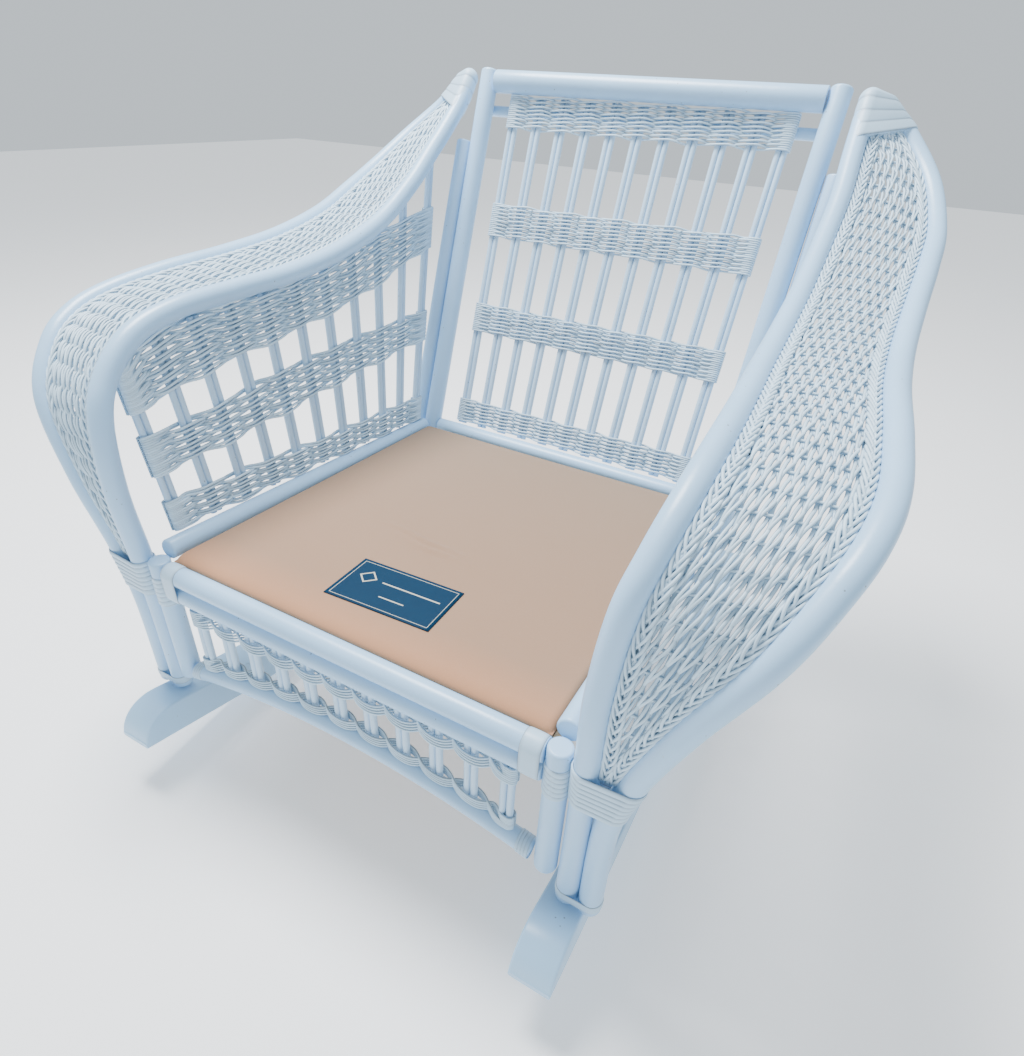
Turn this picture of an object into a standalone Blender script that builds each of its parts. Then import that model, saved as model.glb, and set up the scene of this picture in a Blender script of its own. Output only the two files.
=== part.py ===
"""White-painted rattan lounge rocker with a bare sprung fabric seat deck.

Every cane pole, woven band, spindle comb, binding, rocker, seat rail, spring and the
fabric deck is its own closed body.  X is across the chair, Y runs from front to back
and Z is up.  Inside the script Y is measured from the line of the front legs and Z
from the underside of the rockers' noses; one empty shifts the whole chair so that
the floor is at Z = 0 and the chair is centred on the origin.
"""
import math

import bmesh
import bpy
from mathutils import Vector

for old in list(bpy.data.objects):
    bpy.data.objects.remove(old, do_unlink=True)

# ---------------------------------------------------------------- driving sizes (m)
GAP = 0.0004            # clearance between touching pieces
POLE_R = 0.0143         # arm, leg and seat poles
POST_R = 0.0165         # inner pole of each back post
TOP_RAIL_R = 0.0185     # rail across the top of the back
APRON_RAIL_R = 0.0125   # arched rail under the apron
BRACE_R = 0.009         # thin bar behind the back panel
FRONT_POST_X = 0.2985   # front posts, and the seat's side rails behind them
FRONT_POST_TOP = 0.2912
FRONT_POST_FOOT = 0.080
FRONT_RAIL_Z = 0.2765
POST_TOP = (0.3050, 0.8690, 0.8654)
POST_FOOT_X = 0.2850    # the back posts close in by this much towards Z = 0
POST_LEAN = 0.373       # forward-back run per metre of height
POST_FOOT_Z = 0.090
REAR_POST_TOP_Z = 0.752
REAR_POST_FOOT_X = 0.3205
TOP_RAIL_Z = 0.849
BRACE_Y = 0.8740
BRACE_Z = 0.802
SIDE_RAIL_Z = 0.2990    # height of the side rails just behind the front posts
SIDE_RAIL_DROP = 0.0735
SIDE_RAIL_END = 0.6175
SEAT_REAR = (0.640, 0.250)
DECK_TOP = 0.298        # top of the deck in line with the front legs
DECK_DROP = 0.062       # fall of the deck per metre towards the back
DECK_FRONT = 0.0152
DECK_REAR = 0.612
DECK_THICK = 0.012
SPRING_R = 0.0016
FRAME_HIGH = 0.030
FRAME_WIDE = 0.026
ROD_R = 0.0049          # one rod of a double spindle
BAND_T = 0.0085         # half the thickness of a woven band
SPINDLES = 11
BATTEN = 0.0025
UNDER_ARM = 0.0025      # clearance of the side panels below the arm pole
ROCKER_IN = 0.3035
ROCKER_OUT = 0.3570
ROCKER_HIGH = 0.060
ROCKER_NOSE = -0.0955
TAIL_FROM = 0.070       # where the straight front tail turns into the arc
TAIL_SLOPE = 0.25
REST_Y = 0.412          # lowest point of the arc, under the chair's balance point
NOSE_LONG = 0.062
WRAP = 0.0014           # thickness of a wound binding
WEAVE_T = 0.0035        # half the thickness of the arm weave
WEAVE_RISE = 0.006
FRONT_Y = -0.4043

# Centre lines of the two poles that form each arm, from the foot over the arm to the
# crown beside the back post: (inner pole), (outer pole), one pair per station.
ARM = [
    ((0.3300, 0.000, 0.043), (0.3590, 0.000, 0.043)),
    ((0.3300, 0.000, 0.200), (0.3600, 0.000, 0.200)),
    ((0.3302, -0.004, 0.290), (0.3780, -0.001, 0.290)),
    ((0.3308, -0.009, 0.390), (0.4125, -0.004, 0.390)),
    ((0.3365, 0.002, 0.480), (0.4570, 0.011, 0.480)),
    ((0.3455, 0.030, 0.528), (0.4840, 0.053, 0.534)),
    ((0.3535, 0.080, 0.564), (0.4985, 0.100, 0.561)),
    ((0.3565, 0.150, 0.581), (0.5035, 0.160, 0.577)),
    ((0.3550, 0.250, 0.586), (0.4980, 0.250, 0.590)),
    ((0.3515, 0.360, 0.591), (0.4895, 0.360, 0.599)),
    ((0.3510, 0.470, 0.606), (0.4873, 0.470, 0.611)),
    ((0.3525, 0.580, 0.637), (0.4892, 0.580, 0.634)),
    ((0.3540, 0.675, 0.687), (0.4908, 0.670, 0.667)),
    ((0.3545, 0.740, 0.733), (0.4875, 0.750, 0.702)),
    ((0.3500, 0.796, 0.780), (0.4620, 0.829, 0.754)),
    ((0.3475, 0.835, 0.817), (0.4150, 0.879, 0.806)),
    ((0.3470, 0.862, 0.850), (0.3765, 0.880, 0.842)),
]

# Edges of the woven bands in the side panels: (Y, Z) points, front to back.
SIDE_TOP_LOW = [(0.04, 0.473), (0.182, 0.494), (0.353, 0.507), (0.480, 0.521),
                (0.583, 0.540), (0.745, 0.579)]
SIDE_TOP_REAR = [(0.600, 0.617), (0.760, 0.641)]
SIDE_MID_LOW = [(0.04, 0.389), (0.185, 0.391), (0.312, 0.397), (0.438, 0.405), (0.70, 0.414)]
SIDE_MID_HIGH = [(0.04, 0.445), (0.133, 0.443), (0.255, 0.456), (0.434, 0.463), (0.70, 0.465)]
SIDE_BOTTOM_HIGH = [(0.04, 0.354), (0.205, 0.342), (0.334, 0.329), (0.464, 0.321),
                    (0.640, 0.310)]
SIDE_FIRST = 0.053      # first side spindle, at the height SIDE_EVEN_Z
SIDE_PITCH = 0.0581
SIDE_EVEN_Z = 0.365
SIDE_LEAN = 0.41        # the last side spindle leans like this; the first is upright
SIDE_PLANE = (0.305, 0.270, 0.17)   # X at a height, and how far the panel flares out

# Woven bands across the back: (lower edge, upper edge) heights.
BACK_BANDS = [(0.7767, 0.8262), (0.6001, 0.6550), (0.4337, 0.4838), (0.2656, 0.3083)]
BACK_PLANE = (0.5563, 0.373)
BACK_HALF = (0.2280, 0.2430)        # half width between end spindles, bottom and top
BACK_HALF_Z = (0.280, 0.800)
APRON_PITCH = 0.0485
APRON_MID_Z = 0.132
APRON_END_Z = 0.094
APRON_UPPER = (0.2000, 0.2295)
APRON_LOWER_HIGH = 0.021
LEG_WRAP = (1.27, 1.95)             # stations of ARM
CROWN_WRAP = (14.55, 15.80)
LEG_CAP = (0.052, 0.062)
LABEL = (0.155, 0.090, 0.0012)
LABEL_AT = (0.011, 0.108, 3.0)      # centre and turn in degrees

root = bpy.data.objects.new("chair", None)
bpy.context.scene.collection.objects.link(root)


def material(name, color, roughness, metallic=0.0):
    mat = bpy.data.materials.new(name)
    mat.use_nodes = True
    shader = mat.node_tree.nodes["Principled BSDF"]
    shader.inputs["Base Color"].default_value = (*color, 1.0)
    shader.inputs["Roughness"].default_value = roughness
    shader.inputs["Metallic"].default_value = metallic
    mat.diffuse_color = (*color, 1.0)
    return mat


PAINT = material("white_paint", (0.80, 0.85, 0.90), 0.38)
WOOD = material("frame_wood", (0.56, 0.42, 0.27), 0.65)
STEEL = material("spring_steel", (0.45, 0.46, 0.48), 0.35, 1.0)
FABRIC = material("deck_fabric", (0.62, 0.45, 0.34), 0.9)
LABEL_CLOTH = material("label_cloth", (0.02, 0.16, 0.28), 0.7)


def add(name, verts, faces, mat, smooth=False):
    """One mesh object, faces turned outwards, fixed to the chair's empty."""
    mesh = bpy.data.meshes.new(name)
    mesh.from_pydata([tuple(v) for v in verts], [], faces)
    bm = bmesh.new()
    bm.from_mesh(mesh)
    bmesh.ops.recalc_face_normals(bm, faces=bm.faces)
    bm.to_mesh(mesh)
    bm.free()
    mesh.polygons.foreach_set("use_smooth", [smooth] * len(mesh.polygons))
    mesh.materials.append(mat)
    obj = bpy.data.objects.new(name, mesh)
    obj.parent = root
    bpy.context.scene.collection.objects.link(obj)
    return obj


def mirrored(points):
    return [Vector((-p[0], p[1], p[2])) for p in points]


def table(points, at):
    """Straight-line interpolation in a list of (position, value) points."""
    for (a, va), (b, vb) in zip(points, points[1:]):
        if at <= b:
            break
    return va + (vb - va) * (at - a) / (b - a)


def spline(points, s):
    """Catmull-Rom curve through points, s = 0 at the first and 1 per point."""
    k = min(max(int(s), 0), len(points) - 2)
    t = s - k
    p1, p2 = Vector(points[k]), Vector(points[k + 1])
    p0 = Vector(points[k - 1]) if k else 2 * p1 - p2
    p3 = Vector(points[k + 2]) if k + 2 < len(points) else 2 * p2 - p1
    return 0.5 * (2 * p1 + (p2 - p0) * t + (2 * p0 - 5 * p1 + 4 * p2 - p3) * t * t
                  + (3 * p1 - p0 - 3 * p2 + p3) * t ** 3)


INNER = [pair[0] for pair in ARM]
OUTER = [pair[1] for pair in ARM]
LAST = len(ARM) - 1


def heading(points, s):
    return (spline(points, min(s + 0.05, LAST)) - spline(points, max(s - 0.05, 0))).normalized()


def steps(start, end, count):
    return [start + (end - start) * i / count for i in range(count + 1)]


def tube(name, path, radius, sides=12, mat=PAINT, foot=None):
    """Round bar along path; foot(y) gives the height its first ring stands on."""
    path = [Vector(p) for p in path]
    verts, faces = [], []
    aim = (path[1] - path[0]).normalized()
    side = aim.cross(Vector((0, 1, 0)) if abs(aim.y) < 0.9 else Vector((1, 0, 0))).normalized()
    for i, p in enumerate(path):
        aim = (path[min(i + 1, len(path) - 1)] - path[max(i - 1, 0)]).normalized()
        side = (side - aim * side.dot(aim)).normalized()
        up = aim.cross(side)
        for k in range(sides):
            a = math.tau * (k + 0.5) / sides
            verts.append(p + radius * (math.cos(a) * side + math.sin(a) * up))
    if foot:
        aim = (path[1] - path[0]).normalized()
        for k in range(sides):
            v = verts[k]
            for _ in range(8):
                v = v + aim * (foot(v.y) + GAP - v.z) / aim.z
            verts[k] = v
    for i in range(len(path) - 1):
        for k in range(sides):
            a, b = i * sides + k, i * sides + (k + 1) % sides
            faces.append((a, b, b + sides, a + sides))
    faces.append(tuple(range(sides)))
    faces.append(tuple((len(path) - 1) * sides + k for k in range(sides)))
    return add(name, verts, faces, mat, True)


def both(name, build):
    """Build a piece on the right (side = 1) and its mirror twin on the left."""
    build(name + "_right", 1)
    build(name + "_left", -1)


# ---------------------------------------------------------------- rockers
ARC_ANGLE = math.atan(TAIL_SLOPE)
ARC_R = (REST_Y - TAIL_FROM) / math.sin(ARC_ANGLE)
ARC_LOW = TAIL_SLOPE * (ROCKER_NOSE - TAIL_FROM) - ARC_R * (1 - math.cos(ARC_ANGLE))
FACETS = 13
REAR_ANGLE = 15.4
REAR_TAIL = 0.085


def rocker_low(y):
    """Underside of a rocker: straight tail, arc of short facets, straight tail."""
    if y <= ROCKER_EDGE[0][0]:
        return ROCKER_EDGE[0][1] - TAIL_SLOPE * (y - ROCKER_EDGE[0][0])
    return table(ROCKER_EDGE, y)


def arc_point(angle):
    return (REST_Y + ARC_R * math.sin(angle), ARC_LOW + ARC_R * (1 - math.cos(angle)))


ROCKER_EDGE = [arc_point(-ARC_ANGLE + 2 * ARC_ANGLE * i / FACETS) for i in range(FACETS + 1)]
ROCKER_EDGE.append(arc_point(math.radians(REAR_ANGLE)))
root.location = (0.0, FRONT_Y, -min(z for _, z in ROCKER_EDGE))   # lowest facet on the floor
ROCKER_REAR = ROCKER_EDGE[-1][0] + REAR_TAIL
ROCKER_EDGE.append((ROCKER_REAR, ROCKER_EDGE[-1][1]
                    + REAR_TAIL * math.tan(math.radians(REAR_ANGLE))))


def rocker_top(y):
    """Upper face of a rocker, rounded down to the floor side at both ends."""
    end = min(y - ROCKER_NOSE, ROCKER_REAR - y) / NOSE_LONG
    drop = 1 - math.sqrt(max(1 - (1 - min(end, 1)) ** 2, 0.0016))
    return rocker_low(y) + ROCKER_HIGH * (1 - drop)


def rocker(name, side):
    ys = [ROCKER_NOSE + NOSE_LONG * (1 - math.cos(math.radians(a))) for a in steps(0, 90, 6)]
    ys += [y for y, _ in ROCKER_EDGE if y < ROCKER_REAR - NOSE_LONG]
    ys += [ROCKER_REAR - NOSE_LONG * (1 - math.cos(math.radians(a))) for a in steps(90, 0, 6)]
    verts, faces = [], []
    for y in ys:
        for x, z in ((ROCKER_IN, rocker_low(y)), (ROCKER_OUT, rocker_low(y)),
                     (ROCKER_OUT, rocker_top(y)), (ROCKER_IN, rocker_top(y))):
            verts.append((side * x, y, z))
    for i in range(len(ys) - 1):
        for k in range(4):
            a, b = 4 * i + k, 4 * i + (k + 1) % 4
            faces.append((a, b, b + 4, a + 4))
    faces += [(0, 1, 2, 3), tuple(4 * (len(ys) - 1) + k for k in range(4))]
    add(name, verts, faces, PAINT)


both("rocker", rocker)

# ---------------------------------------------------------------- arms
ARM_STEPS = [0.0] + steps(0.6, LAST, 46)


def arm_pole(points, sides):
    def build(name, side):
        path = [spline(points, s) for s in ARM_STEPS]
        tube(name, path if side > 0 else mirrored(path), POLE_R, sides, foot=rocker_top)
    return build


both("arm_inner_pole", arm_pole(INNER, 10))
both("arm_outer_pole", arm_pole(OUTER, 10))


def across(s):
    """Centres of both poles at s, the unit vector between them and the outward normal."""
    a, b = spline(INNER, s), spline(OUTER, s)
    w = (b - a).normalized()
    t = (heading(INNER, s) + heading(OUTER, s)).normalized()
    t = (t - w * t.dot(w)).normalized()
    return a, b, w, w.cross(t)


def weave(name, side):
    """Woven sheet between the two poles of an arm, from leg wrap to crown wrap."""
    verts, faces = [], []
    stations = steps(LEG_WRAP[1] + 0.04, CROWN_WRAP[0] - 0.04, 38)
    for s in stations:
        a, b, w, n = across(s)
        reach = [(POLE_R + GAP) / w.cross(heading(p, s)).length + GAP for p in (INNER, OUTER)]
        a, b = a + w * reach[0], b - w * reach[1]
        rise = WEAVE_RISE * min(1, (b - a).length / 0.08)
        for lift in (-WEAVE_T, WEAVE_T):
            verts += [a + n * lift, (a + b) / 2 + n * (lift + rise), b + n * lift]
    ring = (0, 1, 2, 5, 4, 3)
    for i in range(len(stations) - 1):
        for j in range(6):
            p, q = 6 * i + ring[j], 6 * i + ring[(j + 1) % 6]
            faces.append((p, q, q + 6, p + 6))
    for base in (0, 6 * (len(stations) - 1)):
        faces += [(base, base + 1, base + 4, base + 3), (base + 1, base + 2, base + 5, base + 4)]
    add(name, verts if side > 0 else mirrored(verts), faces, PAINT, True)


both("arm_weave", weave)


def sleeve(name, side, sections, wall=WRAP, corner=6):
    """Binding wound round two poles: an oval shell with one ring pair per section."""
    verts, faces = [], []
    half = [math.pi * (k / corner - 0.5) for k in range(corner + 1)]
    for a, b, w, n, inner in sections:
        inner = inner / math.cos(math.pi / corner / 2)
        for radius in (inner, inner + wall):
            verts += [b + radius * (math.cos(t) * w + math.sin(t) * n) for t in half]
            verts += [a - radius * (math.cos(t) * w + math.sin(t) * n) for t in half]
    count = 2 * len(half)
    for i in range(len(sections) - 1):
        for k in range(count):
            p, q = 2 * count * i + k, 2 * count * i + (k + 1) % count
            faces += [(p, q, q + 2 * count, p + 2 * count),
                      (p + count, q + count, q + 3 * count, p + 3 * count)]
    for base in (0, 2 * count * (len(sections) - 1)):
        for k in range(count):
            p, q = base + k, base + (k + 1) % count
            faces.append((p, q, q + count, p + count))
    add(name, verts if side > 0 else mirrored(verts), faces, PAINT, True)


def wrap_section(s):
    a, b, w, n = across(s)
    t = w.cross(n)
    lean = min(abs(heading(INNER, s).dot(t)), abs(heading(OUTER, s).dot(t)))
    return a, b, w, n, POLE_R / lean + 2 * GAP


def leg_binding(name, side):
    sleeve(name, side, [wrap_section(s) for s in steps(*LEG_WRAP, 3)])


def crown_binding(name, side):
    sleeve(name, side, [wrap_section(s) for s in steps(*CROWN_WRAP, 6)])


def leg_cap(name, side):
    sections = []
    for z in LEG_CAP:
        s = (z - ARM[0][0][2]) / (ARM[1][0][2] - ARM[0][0][2])
        sections.append(wrap_section(s))
    sleeve(name, side, sections, wall=0.0010)


both("leg_binding", leg_binding)
both("crown_binding", crown_binding)
both("leg_cap", leg_cap)

# ---------------------------------------------------------------- posts and rails


def post_x(z):
    return POST_FOOT_X + (POST_TOP[0] - POST_FOOT_X) * z / POST_TOP[2]


def post_y(z):
    return POST_TOP[1] + POST_LEAN * (z - POST_TOP[2])


def rear_post_x(z):
    """The second rear post lies against the outer side of the first at its top."""
    top = post_x(REAR_POST_TOP_Z) + POST_R + POLE_R + 2 * GAP
    return REAR_POST_FOOT_X + (top - REAR_POST_FOOT_X) * z / REAR_POST_TOP_Z


def front_post(name, side):
    x = side * FRONT_POST_X
    tube(name, [(x, 0, FRONT_POST_FOOT), (x, 0, FRONT_POST_TOP)], POLE_R, 16)


def back_post(name, side):
    ends = [(side * post_x(z), post_y(z), z) for z in (POST_FOOT_Z, POST_TOP[2])]
    tube(name, ends, POST_R, 16)


def rear_post(name, side):
    ends = [(side * rear_post_x(z), post_y(z), z) for z in (0.0, REAR_POST_TOP_Z)]
    tube(name, ends, POLE_R, 16, foot=rocker_top)


def side_rail_z(y):
    return SIDE_RAIL_Z - SIDE_RAIL_DROP * y


def seat_side_rail(name, side):
    x = side * FRONT_POST_X
    ends = [(x, y, side_rail_z(y)) for y in (POLE_R + 0.0020, SIDE_RAIL_END)]
    tube(name, ends, POLE_R, 16)


both("front_post", front_post)
both("back_post", back_post)
both("rear_post", rear_post)
both("seat_side_rail", seat_side_rail)


def cross_rail(name, half, y, z, radius):
    tube(name, [(-half, y, z), (half, y, z)], radius, 16)


FRONT_HALF = FRONT_POST_X - POLE_R - 2 * GAP
FRONT_LOWER_Z = FRONT_RAIL_Z - 2 * POLE_R - GAP
cross_rail("front_upper_rail", FRONT_HALF, 0, FRONT_RAIL_Z, POLE_R)
cross_rail("front_lower_rail", FRONT_HALF, 0, FRONT_LOWER_Z, POLE_R)
cross_rail("back_top_rail", post_x(TOP_RAIL_Z) - POST_R - 4 * GAP, post_y(TOP_RAIL_Z),
           TOP_RAIL_Z, TOP_RAIL_R)
cross_rail("back_brace", post_x(BRACE_Z) + POST_R / 2, BRACE_Y, BRACE_Z, BRACE_R)
cross_rail("seat_rear_rail", post_x(SEAT_REAR[1]) - POST_R - 3 * GAP, *SEAT_REAR, POLE_R)


def apron_z(x):
    """Centre line of the arched rail under the apron."""
    return APRON_MID_Z - (APRON_MID_Z - APRON_END_Z) * (x / FRONT_HALF) ** 2


APRON_HALF = FRONT_HALF - APRON_RAIL_R * 0.3   # its sloping ends stay clear of the posts
tube("apron_bottom_rail", [(x, 0, apron_z(x)) for x in steps(-APRON_HALF, APRON_HALF, 16)],
     APRON_RAIL_R, 12)

# ---------------------------------------------------------------- woven panels
BAR_HALF = 2 * ROD_R    # a double spindle is two rods side by side
SLOT = (BAR_HALF + GAP, ROD_R + GAP)
BAND_END = BAR_HALF + 0.0032


def on_line(line, edge, offset):
    """Point where a spindle's line, moved sideways by offset, meets an edge curve."""
    u = line(edge(0.0)) + offset
    for _ in range(12):
        u = line(edge(u)) + offset
    return u, edge(u)


def slotted_band(name, place, lines, low, high):
    """Woven band with one slot right through it, edge to edge, for every spindle."""
    verts, faces = [], []

    def put(u, v, w):
        verts.append(place(u, v, w))
        return len(verts) - 1

    levels = []
    for edge in (low, high):
        centres = [on_line(line, edge, 0)[0] for line in lines]
        bounds = [centres[0] - BAND_END]
        bounds += [(a + b) / 2 for a, b in zip(centres, centres[1:])]
        bounds.append(centres[-1] + BAND_END)
        walls = [(put(u, edge(u), -BAND_T), put(u, edge(u), BAND_T)) for u in bounds]
        slots = []
        for line in lines:
            ends = [on_line(line, edge, side * SLOT[0]) for side in (-1, 1)]
            slots.append([put(*ends[0], -SLOT[1]), put(*ends[1], -SLOT[1]),
                          put(*ends[1], SLOT[1]), put(*ends[0], SLOT[1])])
        levels.append((walls, slots))
    for walls, slots in levels:
        for i, slot in enumerate(slots):
            (a, d), (b, c) = walls[i], walls[i + 1]
            outer = (a, b, c, d)
            for k in range(4):
                faces.append((outer[k], outer[(k + 1) % 4], slot[(k + 1) % 4], slot[k]))
    for i in range(len(lines)):
        lower, upper = levels[0][1][i], levels[1][1][i]
        for k in range(4):
            faces.append((lower[k], lower[(k + 1) % 4], upper[(k + 1) % 4], upper[k]))
        for side in (0, 1):
            faces.append((levels[0][0][i][side], levels[0][0][i + 1][side],
                          levels[1][0][i + 1][side], levels[1][0][i][side]))
    for i in (0, len(lines)):
        faces.append((levels[0][0][i][0], levels[0][0][i][1],
                      levels[1][0][i][1], levels[1][0][i][0]))
    add(name, verts, faces, PAINT)


def comb(name, place, lines, outer, inner, tips):
    """All spindles of a panel, joined by one thin batten between outer and inner."""
    verts, faces, columns = [], [], []
    for line, tip in zip(lines, tips):
        for side in (-1, 1):
            column = []
            for edge in (outer, inner, tip):
                u, v = on_line(line, edge, side * BAR_HALF)
                for w in (-ROD_R, ROD_R):
                    verts.append(place(u, v, w))
                    column.append(len(verts) - 1)
            columns.append(column)
    for i, (a, b) in enumerate(zip(columns, columns[1:])):
        faces += [(a[0], b[0], b[2], a[2]), (a[1], b[1], b[3], a[3]), (a[0], b[0], b[1], a[1])]
        if i % 2:
            faces.append((a[2], b[2], b[3], a[3]))
        else:
            faces += [(a[2], b[2], b[4], a[4]), (a[3], b[3], b[5], a[5]),
                      (a[4], b[4], b[5], a[5]), (a[2], a[3], a[5], a[4]),
                      (b[2], b[3], b[5], b[4])]
    for c in (columns[0], columns[-1]):
        faces.append((c[0], c[1], c[3], c[2]))
    add(name, verts, faces, PAINT)


# -- back panel
def back_place(u, v, w):
    n = Vector((0, 1, -BACK_PLANE[1])).normalized()
    return Vector((u, BACK_PLANE[0] + BACK_PLANE[1] * v, v)) + n * w


def back_line(i):
    share = (i - (SPINDLES - 1) / 2) / ((SPINDLES - 1) / 2)
    return lambda v: share * (BACK_HALF[0] + (BACK_HALF[1] - BACK_HALF[0])
                              * (v - BACK_HALF_Z[0]) / (BACK_HALF_Z[1] - BACK_HALF_Z[0]))


back_lines = [back_line(i) for i in range(SPINDLES)]
for i, (low, high) in enumerate(BACK_BANDS):
    slotted_band("back_band_%d" % (i + 1), back_place, back_lines,
                 lambda u, z=low: z, lambda u, z=high: z)
back_foot = BACK_BANDS[-1][0] - GAP - BATTEN
comb("back_spindles", back_place, back_lines, lambda u: back_foot,
     lambda u: back_foot + BATTEN, [lambda u: BACK_BANDS[0][1]] * SPINDLES)


# -- side panels
def under_pole(u):
    """Highest level that stays clear below the inner arm pole."""
    reach = POLE_R + UNDER_ARM
    low = 1.0
    for s in steps(3.5, 15.0, 230):
        p = spline(INNER, s)
        if abs(p.y - u) < reach and p.z > 0.45:
            low = min(low, p.z - math.sqrt(reach ** 2 - (p.y - u) ** 2))
    return low


def side_top_high(u):
    return min(under_pole(u), table(SIDE_TOP_REAR, max(u, SIDE_TOP_REAR[0][0])))


def side_line(i):
    lean = SIDE_LEAN * (i / (SPINDLES - 1)) ** 2
    return lambda v: SIDE_FIRST + SIDE_PITCH * i + lean * (v - SIDE_EVEN_Z)


side_lines = [side_line(i) for i in range(SPINDLES)]
side_foot = POLE_R + 2 * GAP


def side_place(side):
    x0, z0, flare = SIDE_PLANE
    n = Vector((1, 0, -flare)).normalized()

    def place(u, v, w):
        p = Vector((x0 + flare * (v - z0), u, v)) + n * w
        return Vector((side * p.x, p.y, p.z))
    return place


def side_panel(side, tag):
    place = side_place(side)
    tips = [side_top_high] * (SPINDLES - 2) + [under_pole] * 2
    comb("side_spindles_" + tag, place, side_lines,
         lambda u: side_rail_z(u) + side_foot,
         lambda u: side_rail_z(u) + side_foot + BATTEN, tips)
    slotted_band("side_top_band_" + tag, place, side_lines,
                 lambda u: table(SIDE_TOP_LOW, u), side_top_high)
    slotted_band("side_middle_band_" + tag, place, side_lines,
                 lambda u: table(SIDE_MID_LOW, u), lambda u: table(SIDE_MID_HIGH, u))
    slotted_band("side_bottom_band_" + tag, place, side_lines,
                 lambda u: side_rail_z(u) + side_foot + BATTEN + GAP,
                 lambda u: table(SIDE_BOTTOM_HIGH, u))


side_panel(1, "right")
side_panel(-1, "left")


# -- apron
def apron_place(u, v, w):
    return Vector((u, w, v))


def apron_line(i):
    return lambda v: APRON_PITCH * (i - (SPINDLES - 1) / 2)


def apron_foot(u):
    return apron_z(u) + APRON_RAIL_R + 3 * GAP


apron_lines = [apron_line(i) for i in range(SPINDLES)]
apron_top = FRONT_LOWER_Z - POLE_R - GAP
comb("apron_spindles", apron_place, apron_lines, lambda u: apron_top,
     lambda u: apron_top - BATTEN, [apron_foot] * SPINDLES)
slotted_band("apron_upper_band", apron_place, apron_lines,
             lambda u: APRON_UPPER[0], lambda u: APRON_UPPER[1])
slotted_band("apron_lower_band", apron_place, apron_lines, apron_foot,
             lambda u: apron_foot(u) + APRON_LOWER_HIGH)

# ---------------------------------------------------------------- seat


def deck_z(y, depth=0.0):
    return DECK_TOP - DECK_DROP * y - depth


DECK_HALF = FRONT_POST_X - POLE_R - 2 * GAP


def slab(name, x0, x1, y0, y1, top, thick, mat):
    """Flat piece that follows the slope of the deck, its top this far below it."""
    verts = [(x, y, deck_z(y, top + d)) for d in (0, thick) for x, y in
             ((x0, y0), (x1, y0), (x1, y1), (x0, y1))]
    faces = [(0, 1, 2, 3), (4, 5, 6, 7)]
    faces += [(k, (k + 1) % 4, 4 + (k + 1) % 4, 4 + k) for k in range(4)]
    add(name, verts, faces, mat)


slab("deck_cover", -DECK_HALF, DECK_HALF, DECK_FRONT, DECK_REAR, 0, DECK_THICK, FABRIC)
frame_top = DECK_THICK + 2 * SPRING_R + 3 * GAP
front_in, rear_in = DECK_FRONT + FRAME_WIDE, DECK_REAR - FRAME_WIDE
slab("seat_frame_front", -DECK_HALF, DECK_HALF, DECK_FRONT, front_in, frame_top,
     FRAME_HIGH, WOOD)
rear_half = post_x(POST_FOOT_Z) - POST_R - GAP     # clear of the leaning back posts
slab("seat_frame_rear", -rear_half, rear_half, rear_in, DECK_REAR, frame_top,
     FRAME_HIGH, WOOD)
slab("seat_frame_right", DECK_HALF - FRAME_WIDE, DECK_HALF, front_in + GAP, rear_in - GAP,
     frame_top, FRAME_HIGH, WOOD)
slab("seat_frame_left", -DECK_HALF, FRAME_WIDE - DECK_HALF, front_in + GAP, rear_in - GAP,
     frame_top, FRAME_HIGH, WOOD)


def spring(name, x):
    """Zigzag wire spring lying between the deck and the wood frame."""
    ys = steps(DECK_FRONT + 0.008, DECK_REAR - 0.008, 60)
    path = [(x + 0.022 * math.sin(math.tau * i / 6), y,
             deck_z(y, DECK_THICK + SPRING_R + GAP)) for i, y in enumerate(ys)]
    tube(name, path, SPRING_R, 4, STEEL)


for i in range(5):
    spring("seat_spring_%d" % (i + 1), 0.105 * (i - 2))


def label():
    turn = math.radians(LABEL_AT[2])
    corners = [(-0.5, -0.5), (0.5, -0.5), (0.5, 0.5), (-0.5, 0.5)]
    verts = []
    for depth in (-GAP, -GAP - LABEL[2]):
        for u, v in corners:
            x = LABEL_AT[0] + LABEL[0] * u * math.cos(turn) - LABEL[1] * v * math.sin(turn)
            y = LABEL_AT[1] + LABEL[0] * u * math.sin(turn) + LABEL[1] * v * math.cos(turn)
            verts.append((x, y, deck_z(y, depth)))
    faces = [(0, 1, 2, 3), (4, 5, 6, 7)]
    faces += [(k, (k + 1) % 4, 4 + (k + 1) % 4, 4 + k) for k in range(4)]
    add("deck_label", verts, faces, LABEL_CLOTH)


label()
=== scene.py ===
# %% [markdown]
# # A white rattan rocking chair
# The chair is made the way a cane worker makes it: bent poles first, then spindles,
# then reed woven over and under them, then wound bindings that hide the joints.
# Every shape below is worked out with numpy as a surface carried along a line.

# %% Load the measured frame
import math

import bpy
import numpy as np
from mathutils import Matrix


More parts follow.
